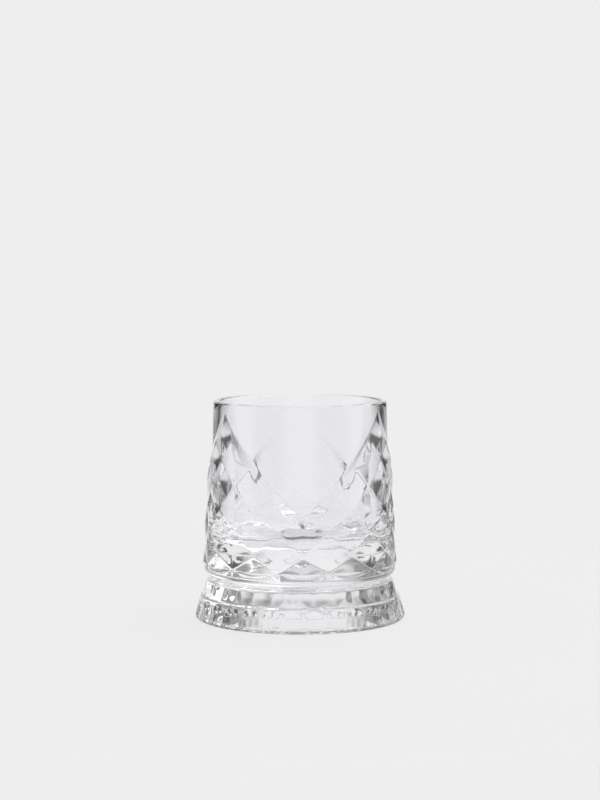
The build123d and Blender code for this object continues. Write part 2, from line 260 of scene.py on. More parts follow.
def group_sockets(tree, ins, outs):
    """Named inputs with defaults, and outputs, of a node group. Gives its inner sockets."""
    for name, kind, default in ins:
        made = tree.interface.new_socket(name, in_out="INPUT", socket_type=kind)
        if default is not None:
            made.default_value = default
    for name, kind in outs:
        tree.interface.new_socket(name, in_out="OUTPUT", socket_type=kind)
    return tree.nodes.new("NodeGroupInput").outputs, tree.nodes.new("NodeGroupOutput").inputs


def shaped(piece, tree, values):
    """Run a geometry node tree on a piece and keep the result as a plain mesh."""
    modifier = piece.modifiers.new("Shape", "NODES")
    modifier.node_group = tree
    for item in tree.interface.items_tree:
        if item.item_type == "SOCKET" and item.in_out == "INPUT" and item.name in values:
            modifier[item.identifier] = values[item.name]
    graph = bpy.context.evaluated_depsgraph_get()
    graph.update()
    mesh = bpy.data.meshes.new_from_object(piece.evaluated_get(graph), depsgraph=graph)
    piece.modifiers.remove(modifier)
    old, piece.data = piece.data, mesh
    name = old.name
    bpy.data.meshes.remove(old)
    mesh.name = name
    return piece


def named(tree, name):
    """A number stored on the mesh."""
    return node(tree, "GeometryNodeInputNamedAttribute", {"Name": name},
                data_type="FLOAT").outputs["Attribute"]


# ---------------------------------------------------------------- turned blanks


def rounded(corners, spacing):
    """A profile through corners (radius, height, rounding), with short steps along it."""
    out = [Vector(corners[0][:2])]
    for before, here, after in zip(corners, corners[1:], corners[2:]):
        at = Vector(here[:2])
        back, on = Vector(before[:2]) - at, Vector(after[:2]) - at
        if here[2] <= 0:
            out.append(at)
            continue
        half = back.angle(on) / 2
        reach = here[2] / math.tan(half)
        first, last = at + back.normalized() * reach, at + on.normalized() * reach
        middle = at + (back.normalized() + on.normalized()).normalized() * here[2] / math.sin(half)
        steps = max(4, round(here[2] * (math.pi - 2 * half) / spacing))
        turn = (first - middle).angle(last - middle)
        for n in range(steps + 1):
            a = math.sin((1 - n / steps) * turn) / math.sin(turn)
            b = math.sin(n / steps * turn) / math.sin(turn)
            out.append(middle + ((first - middle) * a + (last - middle) * b))
    out.append(Vector(corners[-1][:2]))
    return out


def spaced(profile, spacing):
    """The same profile with long straight runs divided."""
    out = [profile[0]]
    for a, b in zip(profile, profile[1:]):
        parts = max(1, round((b - a).length / spacing))
        out += [a.lerp(b, n / parts) for n in range(1, parts + 1)]
    return out


def turned_blank(name, rings, steps, slash):
    """A closed mesh of revolution. rings go from the axis to the axis, each a dict with its
    radius, height and the numbers to store on it. slash(ring, step) picks each quad's
    diagonal. The numbers stored are what the node trees cut the glass by."""
    keys = [k for k in rings[1] if k not in ("radius", "height")]
    points, stored = [], {k: [] for k in keys + ["step"]}
    poles = (rings[0], rings[-1])
    body = rings[1:-1]
    for ring in body:
        for step in range(steps):
            angle = 2 * math.pi * step / steps - math.pi / 2
            points.append((ring["radius"] * math.cos(angle), ring["radius"] * math.sin(angle),
                           ring["height"]))
            stored["step"].append(step / steps)
            for k in keys:
                stored[k].append(ring[k])
    for pole in poles:
        points.append((0, 0, pole["height"]))
        stored["step"].append(0)
        for k in keys:
            stored[k].append(pole.get(k, 0))
    low, high = len(points) - 2, len(points) - 1
    faces = []
    for ring in range(len(body) - 1):
        for step in range(steps):
            after = (step + 1) % steps
            a, b = ring * steps + step, ring * steps + after
            c, d = b + steps, a + steps
            faces += [(a, b, c), (a, c, d)] if slash(ring + 1, step) else [(a, b, d), (b, c, d)]
    top = (len(body) - 1) * steps
    for step in range(steps):
        after = (step + 1) % steps
        faces.append((low, after, step))
        faces.append((top + step, top + after, high))
    mesh = bpy.data.meshes.new(name)
    mesh.from_pydata(points, [], faces)
    for k, values in stored.items():
        mesh.attributes.new(k, "FLOAT", "POINT").data.foreach_set("value", values)
    piece = bpy.data.objects.new(name, mesh)
    bpy.context.scene.collection.objects.link(piece)
    return piece


def finish_glass(piece, body, replaced, material):
    """Smooth shading, the body it rides on and the CAD node it stands for."""
    mesh = piece.data
    for name in [a.name for a in mesh.attributes if a.name in
                 ("step", "row", "stock", "share", "inset", "climb", "across", "tread", "upper")]:
        mesh.attributes.remove(mesh.attributes[name])
    mesh.materials.clear()
    mesh.materials.append(material)
    mesh.shade_smooth()
    mesh.set_sharp_from_angle(angle=math.radians(SMOOTH_ANGLE))
    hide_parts(replaced)
    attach(piece, body)


# ---------------------------------------------------------------- finishes


def once(name, kind="ShaderNodeTree"):
    """The node group of that name, and whether it has to be filled."""
    found = bpy.data.node_groups.get(name)
    return found or bpy.data.node_groups.new(name, kind), found is None


def ripple_group():
    """Slow waves and faint draw lines in pressed, fire-polished glass, and closer, stronger
    waves low in the glass, where it cooled last."""
    tree, new = once("Pressed Glass Ripple")
    if new:
        ins, outs = group_sockets(
            tree,
            [("Wave Scale", "NodeSocketFloat", 60.0), ("Curl Scale", "NodeSocketFloat", 190.0),
             ("Curls", "NodeSocketFloat", 0.5), ("Curls From", "NodeSocketFloat", 0.018),
             ("Strength", "NodeSocketFloat", 0.2)],
            [("Normal", "NodeSocketVector")])
        spot = node(tree, "ShaderNodeTexCoord").outputs["Object"]
        wave = node(tree, "ShaderNodeTexNoise", {
            "Vector": spot, "Scale": ins["Wave Scale"], "Detail": 1.5, "Roughness": 0.4})
        lengthened = vector_calc(tree, "MULTIPLY", spot, (1.0, 1.0, 0.3))
        draw = node(tree, "ShaderNodeTexNoise", {
            "Vector": lengthened, "Scale": 160.0, "Detail": 0.5, "Roughness": 0.4})
        height = calc(tree, "MULTIPLY_ADD", draw.outputs["Fac"], 0.18, wave.outputs["Fac"])
        curls = node(tree, "ShaderNodeTexNoise", {
            "Vector": spot, "Scale": ins["Curl Scale"], "Detail": 1.0, "Distortion": 1.2})
        high = node(tree, "ShaderNodeSeparateXYZ", {"Vector": spot}).outputs["Z"]
        low = node(tree, "ShaderNodeMapRange", {
            "Value": high, "From Min": 0.034, "From Max": 0.05, "To Min": 1.0, "To Max": 0.0},
            interpolation_type="SMOOTHSTEP").outputs["Result"]
        low = calc(tree, "MULTIPLY", low, calc(tree, "GREATER_THAN", high, ins["Curls From"]))
        height = calc(tree, "MULTIPLY_ADD", calc(
            tree, "MULTIPLY", curls.outputs["Fac"], low), ins["Curls"], height)
        bump = node(tree, "ShaderNodeBump", {
            "Strength": ins["Strength"], "Distance": 0.0004, "Height": height})
        tree.links.new(bump.outputs["Normal"], outs["Normal"])
    return tree


def tread_contact_shade_group():
    """Painted shade: glass darkened in mottles low on the tread, standing in for the contact shadow
    where the foot meets the table.
    """
    tree, new = once("Painted Tread Shade")
    if new:
        ins, outs = group_sockets(
            tree,
            [("Glass", "NodeSocketColor", (0.98, 0.98, 0.99, 1)),
             # Tread is the dark colour of the painted contact shade on the tread.
             ("Tread", "NodeSocketColor", (0.2, 0.2, 0.21, 1)),
             ("Height", "NodeSocketFloat", 0.0018), ("Radius", "NodeSocketFloat", 0.0412)],
            [("Color", "NodeSocketColor")])
        spot = node(tree, "ShaderNodeTexCoord").outputs["Object"]
        high = node(tree, "ShaderNodeSeparateXYZ", {"Vector": spot}).outputs["Z"]
        across = vector_calc(tree, "LENGTH", vector_calc(tree, "MULTIPLY", spot, (1, 1, 0)))
        low = node(tree, "ShaderNodeMapRange", {
            "Value": high, "From Min": calc(tree, "MULTIPLY", ins["Height"], 0.7),
            "From Max": ins["Height"], "To Min": 1.0, "To Max": 0.0}).outputs["Result"]
        mottles = node(tree, "ShaderNodeTexNoise", {
            "Vector": spot, "Scale": 700.0, "Detail": 2.0}).outputs["Fac"]
        patchy = node(tree, "ShaderNodeMapRange", {
            "Value": mottles, "From Min": 0.3, "From Max": 0.5}).outputs["Result"]
        share = calc(tree, "MULTIPLY", calc(tree, "MULTIPLY", low, patchy),
                     calc(tree, "GREATER_THAN", across, ins["Radius"]))
        colour = node(tree, "ShaderNodeMix", data_type="RGBA")
        for index, value in ((0, share), (6, ins["Glass"]), (7, ins["Tread"])):
            tree.links.new(value, colour.inputs[index])
        tree.links.new(colour.outputs[2], outs["Color"])
    return tree


def turned_steel_group():
    """Fine lathe marks round the axis and faint stains."""
    tree, new = once("Turned Steel")
    if new:
        ins, outs = group_sockets(
            tree,
            [("Color", "NodeSocketColor", (0.6, 0.6, 0.6, 1)),
             ("Roughness", "NodeSocketFloat", 0.25),
             ("Marks", "NodeSocketFloat", 0.3)],
            [("Color", "NodeSocketColor"), ("Roughness", "NodeSocketFloat"),
             ("Normal", "NodeSocketVector")])
        spot = node(tree, "ShaderNodeTexCoord").outputs["Object"]
        parts = node(tree, "ShaderNodeSeparateXYZ", {"Vector": spot})
        across = calc(tree, "SQRT", calc(tree, "ADD",
                      calc(tree, "MULTIPLY", parts.outputs["X"], parts.outputs["X"]),
                      calc(tree, "MULTIPLY", parts.outputs["Y"], parts.outputs["Y"])))
        track = node(tree, "ShaderNodeCombineXYZ", {"X": across, "Y": parts.outputs["Z"]})
        marks = node(tree, "ShaderNodeTexNoise", {
            "Vector": track.outputs["Vector"], "Scale": 9000.0, "Detail": 2.0})
        stain = node(tree, "ShaderNodeTexNoise", {"Vector": spot, "Scale": 320.0, "Detail": 3.0})
        shade = node(tree, "ShaderNodeMapRange", {
            "Value": stain.outputs["Fac"], "From Min": 0.3, "From Max": 0.7,
            "To Min": 0.86, "To Max": 1.08})
        colour = vector_calc(tree, "SCALE", ins["Color"])
        colour.node.inputs["Scale"].default_value = 1.0
        tree.links.new(shade.outputs["Result"], colour.node.inputs["Scale"])
        rough = calc(tree, "MULTIPLY_ADD", marks.outputs["Fac"], 0.12, ins["Roughness"])
        bump = node(tree, "ShaderNodeBump", {
            "Strength": ins["Marks"], "Distance": 0.00004, "Height": marks.outputs["Fac"]})
        tree.links.new(colour, outs["Color"])
        tree.links.new(rough, outs["Roughness"])
        tree.links.new(bump.outputs["Normal"], outs["Normal"])
    return tree


def plain_material(name):
    """An empty material and its output's surface socket."""
    made = bpy.data.materials.new(name)
    made.use_nodes = True
    made.node_tree.nodes.clear()
    return made, made.node_tree, made.node_tree.nodes.new("ShaderNodeOutputMaterial")


def clear_glass(settings):
    """Clear glass that lets the lamps' light through to the floor."""
    material, tree, out = plain_material("Clear Pressed Glass")
    ripple = node(tree, "ShaderNodeGroup", node_tree=ripple_group())
    ripple.inputs["Strength"].default_value = settings.ripple
    # The glass colour carries painted shade: the tread's dark mottles stand in for the contact
    # shadow under the foot.
    tint_and_tread_shade = node(tree, "ShaderNodeGroup", node_tree=tread_contact_shade_group())
    tint_and_tread_shade.inputs["Glass"].default_value = (*settings.glass, 1)
    glass = node(tree, "ShaderNodeBsdfPrincipled", {
        "Base Color": tint_and_tread_shade.outputs["Color"], "Metallic": 0.0, "Roughness": 0.0, "IOR": 1.5,
        "Transmission Weight": 1.0, "Normal": ripple.outputs["Normal"]})
    through = node(tree, "ShaderNodeBsdfTransparent", {"Color": (0.985, 0.985, 0.988, 1)})
    path = node(tree, "ShaderNodeLightPath").outputs
    lighting = calc(tree, "MAXIMUM", path["Is Shadow Ray"], path["Is Diffuse Ray"])
    mixed = node(tree, "ShaderNodeMixShader", {
        0: lighting, 1: glass.outputs["BSDF"], 2: through.outputs["BSDF"]})
    tree.links.new(mixed.outputs["Shader"], out.inputs["Surface"])
    return material


def steel(name, colour, roughness, marks):
    """Turned or ground steel."""
    material, tree, out = plain_material(name)
    look = node(tree, "ShaderNodeGroup", node_tree=turned_steel_group())
    look.inputs["Color"].default_value = (*colour, 1)
    look.inputs["Roughness"].default_value = roughness
    look.inputs["Marks"].default_value = marks
    metal = node(tree, "ShaderNodeBsdfPrincipled", {
        "Base Color": look.outputs["Color"], "Metallic": 1.0,
        "Roughness": look.outputs["Roughness"], "Normal": look.outputs["Normal"]})
    tree.links.new(metal.outputs["BSDF"], out.inputs["Surface"])
    return material


def cured_adhesive(settings):
    """A thin clear film over steel, with small voids that show as paler specks."""
    material, tree, out = plain_material("Cured Adhesive")
    spot = node(tree, "ShaderNodeTexCoord").outputs["Object"]
    specks = node(tree, "ShaderNodeTexVoronoi", {"Vector": spot, "Scale": 900.0})
    pale = node(tree, "ShaderNodeMapRange", {
        "Value": specks.outputs["Distance"], "From Min": 0.12, "From Max": 0.3,
        "To Min": 1.0, "To Max": 0.0})
    clouds = node(tree, "ShaderNodeTexNoise", {"Vector": spot, "Scale": 260.0, "Detail": 3.0})
    mask = calc(tree, "MULTIPLY", pale.outputs["Result"], clouds.outputs["Fac"], clamp=True)
    colour = node(tree, "ShaderNodeMix", data_type="RGBA")
    tree.links.new(mask, colour.inputs[0])
    colour.inputs[6].default_value = (*settings.adhesive, 1)
    colour.inputs[7].default_value = (0.9, 0.9, 0.92, 1)
    rough = calc(tree, "MULTIPLY_ADD", clouds.outputs["Fac"], 0.2, 0.15)
    film = node(tree, "ShaderNodeBsdfPrincipled", {
        "Base Color": colour.outputs[2], "Metallic": 0.1, "Roughness": rough})
    tree.links.new(film.outputs["BSDF"], out.inputs["Surface"])
    return material


# ---------------------------------------------------------------- bowl


def cutting_tree():
    """Raises the diamonds from the plain surface and leaves the windows. Each point's column
    and row in the pattern are stored on the mesh."""
    tree, new = once("Diamond Cutting", "GeometryNodeTree")
    if not new:
        return tree
    ins, outs = group_sockets(
        tree,
        [("Geometry", "NodeSocketGeometry", None),
         ("Half Columns", "NodeSocketFloat", 24.0),
         ("Half Window", "NodeSocketFloat", 4.0),
         ("Cut Depth", "NodeSocketFloat", 0.00055),
         ("Crest", "NodeSocketFloat", 0.0003),
         ("Margin", "NodeSocketFloat", 0.09),
         ("Bevel", "NodeSocketFloat", 0.22),
         ("Softness", "NodeSocketFloat", 0.05),
         ("Bulge", "NodeSocketFloat", 0.8),
         ("Material", "NodeSocketMaterial", None)],
        [("Geometry", "NodeSocketGeometry")])
    column = calc(tree, "MULTIPLY", named(tree, "step"), ins["Half Columns"])
    row, stock, share = named(tree, "row"), named(tree, "stock"), named(tree, "share")

    def to_edge(value):
        """Distance to the nearest cut of one family, 0 on a cut and 0.5 midway."""
        part = calc(tree, "FRACT", calc(tree, "ADD", calc(tree, "MULTIPLY", value, 0.5), 50.0))
        return calc(tree, "SUBTRACT", 0.5,
                    calc(tree, "ABSOLUTE", calc(tree, "SUBTRACT", part, 0.5)))

    falling = to_edge(calc(tree, "ADD", column, row))
    rising = to_edge(calc(tree, "SUBTRACT", column, row))
    nearest = calc(tree, "SMOOTH_MIN", falling, rising, ins["Softness"])
    point = calc(tree, "MULTIPLY", nearest, 2.0)
    bulged = calc(tree, "SINE", calc(tree, "MULTIPLY", point, math.pi / 2))
    point = calc(tree, "ADD", point, calc(
        tree, "MULTIPLY", calc(tree, "SUBTRACT", bulged, point), ins["Bulge"]))
    soft = calc(tree, "MULTIPLY", ins["Softness"], 1.6)
    point = calc(tree, "SUBTRACT", calc(tree, "SQRT", calc(
        tree, "ADD", calc(tree, "MULTIPLY", point, point), calc(tree, "MULTIPLY", soft, soft))),
        soft)
    relief = calc(tree, "ADD", ins["Cut Depth"], ins["Crest"])
    diamonds = calc(tree, "MULTIPLY_ADD", relief, point,
                    calc(tree, "SUBTRACT", stock, ins["Cut Depth"]))
    aside = calc(tree, "PINGPONG", column, ins["Half Window"])
    beyond = calc(tree, "MULTIPLY", calc(tree, "SUBTRACT", calc(tree, "ADD", aside, row),
                                         ins["Half Window"]), 0.5)
    slope = calc(tree, "DIVIDE", calc(tree, "SUBTRACT", beyond, ins["Margin"]), ins["Bevel"])
    full = calc(tree, "SUBTRACT", stock, ins["Cut Depth"])
    bevel = calc(tree, "MULTIPLY", slope, full)
    blend = calc(tree, "MULTIPLY", ins["Softness"], 0.004)
    height = calc(tree, "SMOOTH_MIN", bevel, diamonds, blend)
    height = calc(tree, "SMOOTH_MAX", height, 0.0, blend)
    raised = calc(tree, "MULTIPLY", height, share)
    place = node(tree, "GeometryNodeInputPosition").outputs["Position"]
    outward = vector_calc(tree, "NORMALIZE", vector_calc(tree, "MULTIPLY", place, (1, 1, 0)))
    offset = vector_calc(tree, "SCALE", outward)
    tree.links.new(raised, offset.node.inputs["Scale"])
    moved = node(tree, "GeometryNodeSetPosition", {
        "Geometry": ins["Geometry"], "Offset": offset}).outputs["Geometry"]
    real = node(tree, "GeometryNodeRealizeInstances", {"Geometry": moved}).outputs["Geometry"]
    done = node(tree, "GeometryNodeSetMaterial", {
        "Geometry": real, "Material": ins["Material"]}).outputs["Geometry"]
    tree.links.new(done, outs["Geometry"])
    return tree


def bowl_rings(s):
    """The bowl's rings from the middle of its underside, up the outside and down the inside."""
    base, rim = BOWL_LOW.z, BOWL_HIGH.z
    peak, point = base + PEAK, base + POINT
    rows = [peak + n * (point - peak) / POINT_ROW for n in range(POINT_ROW + 1)]
    rows += [base + height for height in LOWER_ROWS]

    def plain_radius(z):
        return s.point_radius + (z - point) / (rim - point) * (s.rim_radius - s.point_radius)

    def stock(z):
        share = (z - base - s.belt_height) / (peak - base - s.belt_height)
        return s.proud_low + share * (s.proud_top - s.proud_low) - plain_radius(z)

    rings = []

    def add(radius, z, row=0.0, share=0.0):
        rings.append({"radius": radius, "height": z, "row": row, "share": share,
                      "stock": stock(z)})

    recess_radius, recess_top = FLANGE.x - WETTED, FLANGE.z - WETTED
    under = [(0, recess_top, 0), (recess_radius, recess_top, 0.15 * MM),
             (recess_radius, base, 0.08 * MM), (s.belt_radius, base, s.corner),
             (s.belt_radius, base + s.belt_height, 0)]
    for spot in spaced(rounded(under, 0.5 * MM), 3.0 * MM):
        add(spot.x, spot.y)
    belt_top = base + s.belt_height
    for n in range(1, 5):  # from the belt to the lowest row of crossings
        t = n / 4
        z = belt_top + (rows[-1] - belt_top) * t
        edge = s.belt_radius + (plain_radius(rows[-1]) - s.belt_radius) * t
        add(edge, z, LAST_ROW + (1 - t) * 0.25, t)
    for row in range(LAST_ROW, 0, -1):
        for n in range(1, CELLS + 1):
            z = rows[row] + (rows[row - 1] - rows[row]) * n / CELLS
            add(plain_radius(z), z, row - n / CELLS, 1.0)
    above = (rows[0] - rows[1]) / CELLS
    count = 0
    z = rows[0]
    while z + above < rim - RIM_ROUND:
        z += above
        count += 1
        add(plain_radius(z), z, -count / CELLS, 1.0)
    inner_rim = s.rim_radius - s.rim_thickness
    floor = base + s.floor_thickness
    over = [(plain_radius(z), z, 0), (s.rim_radius, rim, RIM_ROUND), (inner_rim, rim, RIM_ROUND),
            (s.cavity_low, floor, s.cavity_round), (0, floor, 0)]
    for spot in spaced(rounded(over, 0.4 * MM), 3.0 * MM)[1:]:
        add(spot.x, spot.y)
    return rings


def cut_slash(rings):
    """Which way each quad of the bowl is divided, so that every cut lies on an edge."""
    def slash(ring, step):
        upper, lower = rings[ring + 1]["row"], rings[ring]["row"]
        if not (rings[ring]["share"] and rings[ring + 1]["share"]):
            return True
        row = math.floor((upper + lower) / 2)
        column = (step + 0.5) / CELLS
        side = (column + POINT_ROW) % (2 * POINT_ROW) - POINT_ROW
        if abs(side) + (upper + lower) / 2 < POINT_ROW:
            return side > 0
        return (row + math.floor(column)) % 2 == 1
    return slash


class TUMBLER_OT_bowl(bpy.types.Operator):
    """Make the cut glass bowl"""

    bl_idname = "tumbler.bowl"
    bl_label = "Cut Glass Bowl"
    bl_options = {"REGISTER", "UNDO"}

    def execute(self, context):
        s = context.scene.tumbler_bowl
        rings = bowl_rings(s)
        piece = turned_blank("cut_glass_bowl", rings, COLUMNS * CELLS, cut_slash(rings))
        glass = clear_glass(context.scene.tumbler_finish)
        shaped(piece, cutting_tree(), {
            "Half Columns": float(COLUMNS), "Half Window": float(POINT_ROW),
            "Cut Depth": s.cut_depth, "Crest": s.crest, "Margin": s.window_margin,
            "Bevel": s.bevel, "Softness": s.softness, "Bulge": s.bulge, "Material": glass})
        finish_glass(piece, "bowl_body", "bowl", glass)
        return {"FINISHED"}


# ---------------------------------------------------------------- foot


def fluting_tree():
    """Sinks the round-ended flutes into the band and stipples the tread."""
    tree, new = once("Fluting", "GeometryNodeTree")
    if not new:
        return tree
    ins, outs = group_sockets(
        tree,
        [("Geometry", "NodeSocketGeometry", None),
         ("Flutes", "NodeSocketFloat", 30.0),
         ("Flute Depth", "NodeSocketFloat", 0.00075),
         ("Rod Radius", "NodeSocketFloat", 0.0125),
         ("Lean", "NodeSocketFloat", 0.28),
         ("Scoop Depth", "NodeSocketFloat", 0.0003),
         ("Scoop Rod Radius", "NodeSocketFloat", 0.03),
         ("Softness", "NodeSocketFloat", 0.0003),
         ("Run Out", "NodeSocketFloat", 0.0014),
         ("Stipple", "NodeSocketFloat", 0.00014),
         ("Stipples Per Flute", "NodeSocketFloat", 8.0),
         ("Material", "NodeSocketMaterial", None)],
        [("Geometry", "NodeSocketGeometry")])
    turn = calc(tree, "MULTIPLY", named(tree, "step"), ins["Flutes"])
    inset, climb, upper = named(tree, "inset"), named(tree, "climb"), named(tree, "upper")
    across, tread = named(tree, "across"), named(tree, "tread")
    place = node(tree, "GeometryNodeInputPosition").outputs["Position"]
    flat = vector_calc(tree, "MULTIPLY", place, (1, 1, 0))
    radius = vector_calc(tree, "LENGTH", flat)
    outward = vector_calc(tree, "NORMALIZE", flat)
    pitch = calc(tree, "DIVIDE", calc(tree, "MULTIPLY", radius, 2 * math.pi), ins["Flutes"])

    def rod_cut(turned, rod, deepest):
        """How deep a ball-ended rod goes below the surface, or below 0 where it misses."""
        aside = calc(tree, "MULTIPLY", pitch, calc(
            tree, "SUBTRACT", calc(tree, "FRACT", turned), 0.5))
        over = calc(tree, "MAXIMUM", climb, 0.0)
        reach = calc(tree, "ADD", calc(tree, "MULTIPLY", aside, aside),
                     calc(tree, "MULTIPLY", over, over))
        sag = calc(tree, "SQRT", calc(tree, "MAXIMUM", calc(
            tree, "SUBTRACT", calc(tree, "MULTIPLY", rod, rod), reach), 0.0))
        deep = calc(tree, "SUBTRACT", calc(tree, "ADD", calc(
            tree, "SUBTRACT", sag, rod), deepest), inset)
        return calc(tree, "SMOOTH_MAX", deep, 0.0, ins["Softness"])

    depth = rod_cut(turn, ins["Rod Radius"], ins["Flute Depth"])
    scoop = rod_cut(calc(tree, "ADD", turn, 0.5), ins["Scoop Rod Radius"], ins["Scoop Depth"])
    above = node(tree, "ShaderNodeMapRange", {
        "Value": node(tree, "ShaderNodeSeparateXYZ", {"Vector": place}).outputs["Z"],
        "From Min": calc(tree, "MULTIPLY", ins["Run Out"], 0.3), "From Max": ins["Run Out"],
        "To Min": 0.0, "To Max": 1.0}, interpolation_type="SMOOTHSTEP").outputs["Result"]
    depth = calc(tree, "MULTIPLY", depth, calc(tree, "LESS_THAN", inset, 0.0012))
    depth = calc(tree, "MULTIPLY", depth, above)
    depth = calc(tree, "ADD", depth, calc(tree, "MULTIPLY", calc(
        tree, "SUBTRACT", scoop, depth), upper))
    dots = calc(tree, "COSINE", calc(tree, "MULTIPLY", calc(
        tree, "MULTIPLY", turn, ins["Stipples Per Flute"]), 2 * math.pi))
    ranks = calc(tree, "COSINE", calc(tree, "MULTIPLY", across, 2 * math.pi))
    pattern = calc(tree, "MULTIPLY_ADD", calc(tree, "MULTIPLY", dots, ranks), -0.5, 0.5)
    pits = calc(tree, "MULTIPLY", calc(tree, "MULTIPLY", pattern, tread), ins["Stipple"])
    lean_out = vector_calc(tree, "SCALE", outward)
    tree.links.new(calc(tree, "COSINE", ins["Lean"]), lean_out.node.inputs["Scale"])
    lean_up = node(tree, "ShaderNodeCombineXYZ", {
        "Z": calc(tree, "SINE", ins["Lean"])}).outputs["Vector"]
    square = vector_calc(tree, "ADD", lean_out, lean_up)
    sunk = vector_calc(tree, "SCALE", square)
    tree.links.new(calc(tree, "MULTIPLY", depth, -1.0), sunk.node.inputs["Scale"])
    pitted = vector_calc(tree, "SCALE", node(tree, "GeometryNodeInputNormal").outputs["Normal"])
    tree.links.new(calc(tree, "MULTIPLY", pits, -1.0), pitted.node.inputs["Scale"])
    offset = vector_calc(tree, "ADD", sunk, pitted)
    moved = node(tree, "GeometryNodeSetPosition", {
        "Geometry": ins["Geometry"], "Offset": offset}).outputs["Geometry"]
    real = node(tree, "GeometryNodeRealizeInstances", {"Geometry": moved}).outputs["Geometry"]
    done = node(tree, "GeometryNodeSetMaterial", {
        "Geometry": real, "Material": ins["Material"]}).outputs["Geometry"]
    tree.links.new(done, outs["Geometry"])
    return tree


class RodCut:
    """A ball-ended rod's place on one conical face: the face's lean and where the ball is."""

    def __init__(self, depth, width, lean, end_z, end_radius):
        self.depth, self.lean = depth, lean
        self.rod = width**2 / (8 * depth) + depth / 2
        self.end_z, self.end_radius = end_z, end_radius

    def seen_from(self, spot, up):
        """How far a spot of the outline is inside the face, and how far past the ball."""
        across, rise = spot.x - self.end_radius, spot.y - self.end_z
        inset = -(across * math.cos(self.lean) + rise * math.sin(self.lean))
        past = rise * math.cos(self.lean) - across * math.sin(self.lean)
        return max(inset, 0.0), past if up else -past


def flute_cut(s):
    """The flutes' round ends point up, just under the ledge."""
    lean = math.atan2(s.heel_radius - s.band_radius, s.band_top - s.heel_height)
    width = 2 * math.pi * s.heel_radius / s.flutes - s.flute_gap
    end_z = s.flute_end - width / 2 * math.cos(lean)
    return RodCut(s.flute_depth, width, lean, end_z,
                  s.band_radius + (s.band_top - end_z) * math.tan(lean))


def scoop_cut(s):
    """The scoops' round ends point down, just over the ledge."""
    low_z, low_radius = s.band_top + LEDGE_RISE, s.band_radius - LEDGE_WIDTH
    lean = math.atan2(low_radius - s.top_radius, FOOT_TOP - low_z)
    width = 2 * math.pi * low_radius / s.flutes
    end_z = s.scoop_end + width / 2 * math.cos(lean)
    return RodCut(s.scoop_depth, width, lean, end_z, low_radius - (end_z - low_z) * math.tan(lean))


def foot_rings(s, flute, scoop):
    """The foot's rings from the middle of its underside, round the heel and up to the socket."""
    socket = CUP_WIDTH - CUP_FLANGE - WETTED
    corners = [
        (0, s.hollow, 0), (HOLLOW_RADIUS, s.hollow, 2.0 * MM), (TREAD_INNER, 0, 0.6 * MM),
        (TREAD_OUTER, 0, 0.8 * MM), (s.heel_radius, s.heel_height, 1.2 * MM),
        (s.band_radius, s.band_top, 0.25 * MM),
        (s.band_radius - LEDGE_WIDTH, s.band_top + LEDGE_RISE, 0.25 * MM),
        (s.top_radius, FOOT_TOP, SHOULDER_ROUND), (socket, FOOT_TOP, 0.05 * MM),
        (socket, CUP_BOND_LOW.z + WETTED, 0.1 * MM), (0, CUP_BOND_LOW.z + WETTED, 0)]
    profile = rounded(corners, 0.28 * MM)
    rings, travelled = [], 0.0
    last = profile[0]
    fine = []
    for a, b in zip(profile, profile[1:]):
        step = 4.0 * MM
        if min(a.x, b.x) > 39.6 * MM:
            step = (0.3 if max(a.y, b.y) < 2.0 * MM else 0.45 if b.y < s.band_top else 0.6) * MM
        count = max(1, round((b - a).length / step))
        fine += [a.lerp(b, n / count) for n in range(count)]
    fine.append(profile[-1])
    for spot in fine:
        travelled += (spot - last).length
        last = spot
        on_shoulder = spot.y > s.band_top + LEDGE_RISE
        cut = scoop if on_shoulder else flute
        inset, past = cut.seen_from(spot, not on_shoulder)
        on_tread = spot.x > 40.9 * MM and spot.y < 1.7 * MM
        rings.append({
            "radius": spot.x, "height": spot.y, "inset": inset, "climb": past,
            "across": travelled / STIPPLE_PITCH, "tread": 1.0 if on_tread else 0.0,
            "upper": 1.0 if on_shoulder and spot.x > 30 * MM else 0.0})
    return rings


class TUMBLER_OT_foot(bpy.types.Operator):
    """Make the fluted glass foot"""

    bl_idname = "tumbler.foot"
    bl_label = "Fluted Glass Foot"
    bl_options = {"REGISTER", "UNDO"}

    def execute(self, context):
        s = context.scene.tumbler_foot
        flute, scoop = flute_cut(s), scoop_cut(s)
        rings = foot_rings(s, flute, scoop)
        steps = s.flutes * STIPPLES * 4
        piece = turned_blank("fluted_glass_foot", rings, steps,
                             lambda ring, step: step % (4 * STIPPLES) < 2 * STIPPLES)
        glass = bpy.data.materials["Clear Pressed Glass"]
        shaped(piece, fluting_tree(), {
            "Flutes": float(s.flutes), "Flute Depth": s.flute_depth, "Rod Radius": flute.rod,
            "Scoop Depth": s.scoop_depth, "Scoop Rod Radius": scoop.rod, "Lean": flute.lean,
            "Run Out": s.heel_height, "Stipple": s.stipple,
            "Stipples Per Flute": float(STIPPLES), "Material": glass})
        finish_glass(piece, "foot_body", "foot", glass)
        return {"FINISHED"}


# ---------------------------------------------------------------- steel and adhesive


